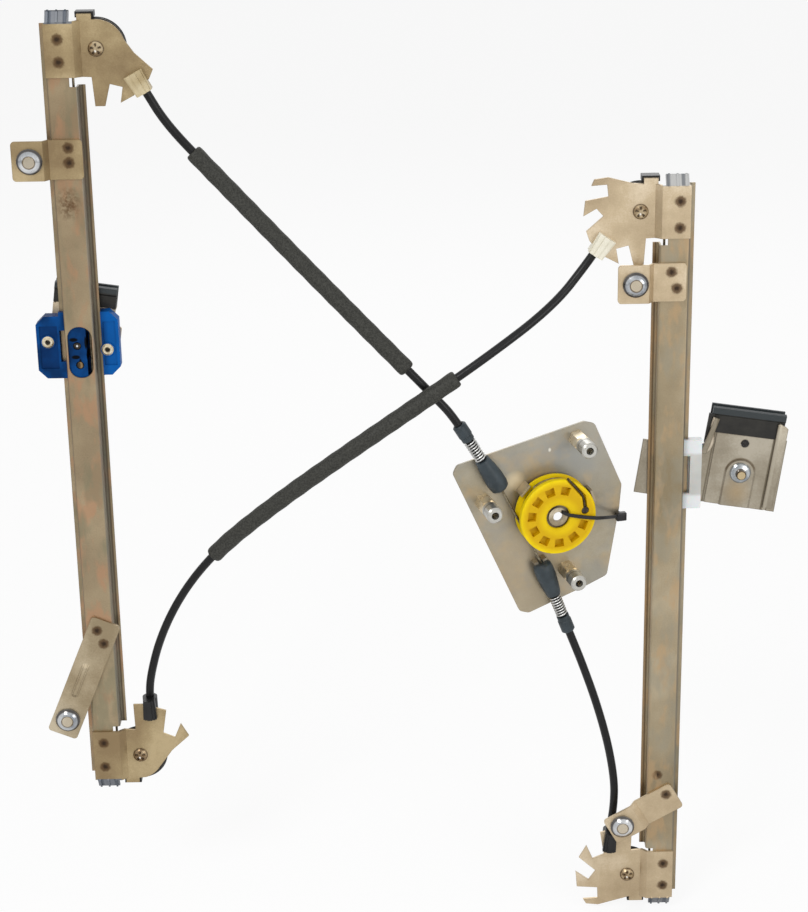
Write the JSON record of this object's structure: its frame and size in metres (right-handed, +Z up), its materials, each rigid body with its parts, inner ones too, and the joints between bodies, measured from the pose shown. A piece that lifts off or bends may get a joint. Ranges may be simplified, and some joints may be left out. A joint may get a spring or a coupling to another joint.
{
  "type": "window regulator",
  "caption": "Twin-rail cable window regulator for a car door: cable drum on a plate, pulleys, sheathed cables and two glass carriages that rise and sink together.",
  "frame": {"origin": "centre of the upper left mounting stud, on the front face of its tab", "axes": "+X from the left rail to the right rail as seen from the cabin side, +Y away from the cabin, +Z up along the rails"},
  "size_m": [0.4944, 0.0561, 0.63],
  "materials": {
    "zinc_steel": "dull zinc plating, warm grey",
    "light_zinc": "zinc plating, pale and warm",
    "bright_steel": "bright domed steel",
    "grey_plastic": "natural plastic, satin",
    "milky_plastic": "milky plastic",
    "white_plastic": "white plastic, satin",
    "black_plastic": "black plastic, satin",
    "conduit_black": "smooth black sheath",
    "foam": "matt closed foam",
    "rubber_black": "matt black rubber",
    "slate_plastic": "slate grey plastic",
    "spring_steel": "bright drawn wire",
    "cable_steel": "stranded steel",
    "yellow_plastic": "yellow plastic, satin",
    "blue_plastic": "blue plastic, satin",
    "dark_zinc": "darker zinc plating"
  },
  "bodies": {
    "frame_and_cables": {"left_rail": "dark_zinc", "right_rail": "zinc_steel", "left_upper_bracket": "zinc_steel", "left_lower_bracket": "zinc_steel", "base_plate": "zinc_steel", "left_upper_mount_tab": "zinc_steel", "left_lower_mount_arm": "zinc_steel", "right_upper_mount_tab": "zinc_steel", "right_lower_mount_tab": "zinc_steel", "pulley_rivets": "zinc_steel", "motor_standoffs": "zinc_steel", "right_upper_bracket": "light_zinc", "right_lower_bracket": "light_zinc", "drum_pivot": "light_zinc", "mounting_studs": "bright_steel", "transport_tie": "black_plastic", "left_lower_conduit_clip": "black_plastic", "right_lower_conduit_clip": "black_plastic", "left_upper_conduit_clip": "milky_plastic", "right_upper_conduit_clip": "milky_plastic", "left_upper_cable_guard": "light_zinc", "left_lower_cable_guard": "light_zinc", "right_upper_cable_guard": "light_zinc", "right_lower_cable_guard": "light_zinc", "upper_left_conduit": "conduit_black", "crossing_conduit": "conduit_black", "lower_right_conduit": "conduit_black", "upper_left_foam_sleeve": "foam", "crossing_foam_sleeve": "foam", "upper_end_fitting": "slate_plastic", "lower_end_fitting": "slate_plastic", "upper_ferrule": "slate_plastic", "lower_ferrule": "slate_plastic", "upper_tension_spring": "spring_steel", "lower_tension_spring": "spring_steel", "upper_left_cable": "cable_steel", "crossing_cable": "cable_steel", "lower_right_cable": "cable_steel"},
    "right_carriage": {"right_slider_shoe": "white_plastic", "right_glass_plate": "zinc_steel", "right_glass_rubber": "rubber_black", "right_clamp_nut": "bright_steel", "right_slider_rivets": "zinc_steel", "right_cable_nipples": "cable_steel"},
    "left_carriage": {"left_slider": "blue_plastic", "left_glass_plate": "zinc_steel", "left_glass_rubber": "rubber_black", "left_slider_rivets": "zinc_steel", "left_cable_nipples": "cable_steel"},
    "drum": {"cable_drum": "yellow_plastic", "drum_nipples": "cable_steel", "drum_winding": "cable_steel"},
    "left_upper_wheel": {"left_upper_pulley": "grey_plastic"},
    "left_lower_wheel": {"left_lower_pulley": "grey_plastic"},
    "right_upper_wheel": {"right_upper_pulley": "grey_plastic"},
    "right_lower_wheel": {"right_lower_pulley": "grey_plastic"}
  },
  "joints": [
    {"name": "right_carriage_slide", "type": "slide", "parent": "frame_and_cables", "child": "right_carriage", "axis": [0, 0, 1], "range_m": [-0.225, 0.125]},
    {"name": "left_carriage_slide", "type": "slide", "parent": "frame_and_cables", "child": "left_carriage", "axis": [0, 0, 1], "range_m": [-0.226, 0.126]},
    {"name": "drum_turn", "type": "hinge", "parent": "frame_and_cables", "child": "drum", "pos_m": [0.32643, 0.00574, -0.2411], "axis": [0.2419, -0.9703, 0], "range_deg": [-564, 314]},
    {"name": "left_upper_wheel_turn", "type": "hinge", "parent": "frame_and_cables", "child": "left_upper_wheel", "pos_m": [0.0443, 0.0128, 0.0676], "axis": [0, 1, 0], "range_deg": [-819, 456]},
    {"name": "left_lower_wheel_turn", "type": "hinge", "parent": "frame_and_cables", "child": "left_lower_wheel", "pos_m": [0.0443, 0.0128, -0.4144], "axis": [0, 1, 0], "range_deg": [-819, 456]},
    {"name": "right_upper_wheel_turn", "type": "hinge", "parent": "frame_and_cables", "child": "right_upper_wheel", "pos_m": [0.3789, 0.0128, -0.04], "axis": [0, 1, 0], "range_deg": [-456, 819]},
    {"name": "right_lower_wheel_turn", "type": "hinge", "parent": "frame_and_cables", "child": "right_lower_wheel", "pos_m": [0.3789, 0.0128, -0.5142], "axis": [0, 1, 0], "range_deg": [-456, 819]}
  ],
  "couplings": [
    {"joint": "left_carriage_slide", "follows": "right_carriage_slide", "ratio": 1},
    {"joint": "drum_turn", "follows": "right_carriage_slide", "rad_per_m": 43.478},
    {"joint": "left_upper_wheel_turn", "follows": "right_carriage_slide", "rad_per_m": 63.291},
    {"joint": "left_lower_wheel_turn", "follows": "right_carriage_slide", "rad_per_m": 63.291},
    {"joint": "right_upper_wheel_turn", "follows": "right_carriage_slide", "rad_per_m": -63.291},
    {"joint": "right_lower_wheel_turn", "follows": "right_carriage_slide", "rad_per_m": -63.291}
  ]
}
